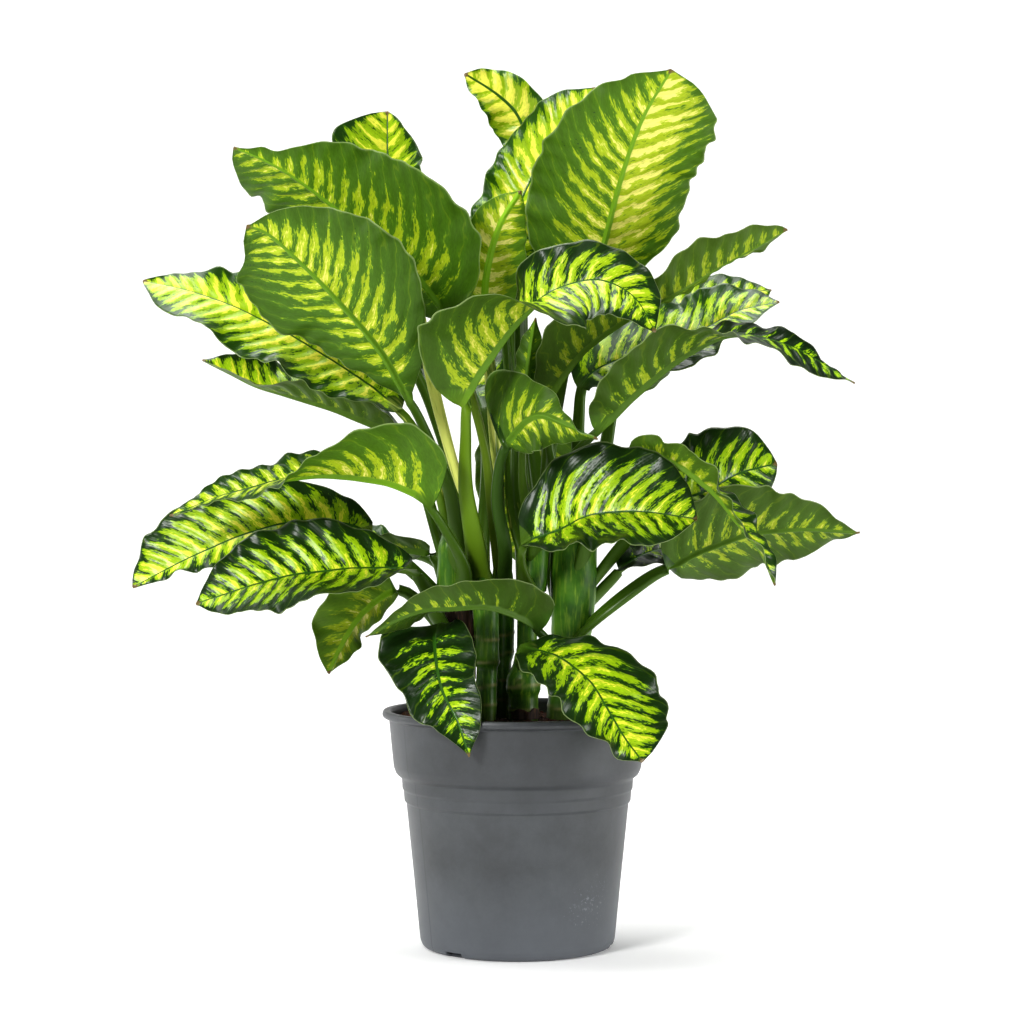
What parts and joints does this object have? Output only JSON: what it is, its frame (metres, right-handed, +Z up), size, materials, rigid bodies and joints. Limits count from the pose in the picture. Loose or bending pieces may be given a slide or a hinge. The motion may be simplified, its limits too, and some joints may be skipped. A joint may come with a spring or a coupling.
{
  "type": "potted dieffenbachia",
  "caption": "Bushy dieffenbachia with broad, waved, cream-streaked green leaves on sheathing stalks and thick canes, in a dark round tapered nursery pot of soil.",
  "frame": {"origin": "centre of the pot's flat underside", "axes": "+Z up along the pot's axis, -Y towards the viewer of the picture, +X to that viewer's right"},
  "size_m": [0.6389, 0.3605, 0.7867],
  "materials": {
    "pot_plastic": "satin, lightly scuffed",
    "soil": "rough and crumbly",
    "cane": "smooth and waxy",
    "leaf": "glossy green with cream-yellow streaks"
  },
  "bodies": {
    "root": {"pot": "pot_plastic", "soil": "soil", "cane_left": "cane", "cane_mid_left": "cane", "cane_centre_left": "cane", "cane_centre": "cane", "cane_right": "cane", "leaf_crown_right": "leaf", "leaf_upper_left": "leaf", "leaf_broad_left": "leaf", "leaf_arching_left": "leaf", "leaf_folded_left": "leaf", "leaf_high_left": "leaf", "leaf_crown_back": "leaf", "leaf_crown_centre": "leaf", "leaf_pale_centre": "leaf", "leaf_arching_centre": "leaf", "leaf_upper_right": "leaf", "leaf_striped_right": "leaf", "leaf_long_right": "leaf", "leaf_twisted_centre": "leaf", "leaf_front_centre": "leaf", "leaf_low_right_back": "leaf", "leaf_low_right_long": "leaf", "leaf_drooping_right": "leaf", "leaf_small_right": "leaf", "leaf_front_right": "leaf", "leaf_front_left": "leaf", "leaf_front_low": "leaf", "leaf_lower_left_front": "leaf", "leaf_lower_left_back": "leaf", "leaf_twisted_left": "leaf", "leaf_low_left_small": "leaf", "leaf_behind_left": "leaf", "leaf_young_centre": "leaf", "leaf_back_left_high": "leaf", "leaf_back_centre_high": "leaf", "leaf_back_right_high": "leaf", "leaf_back_left_low": "leaf", "leaf_back_right_low": "leaf", "leaf_back_centre_low": "leaf", "leaf_back_middle": "leaf"}
  },
  "joints": []
}
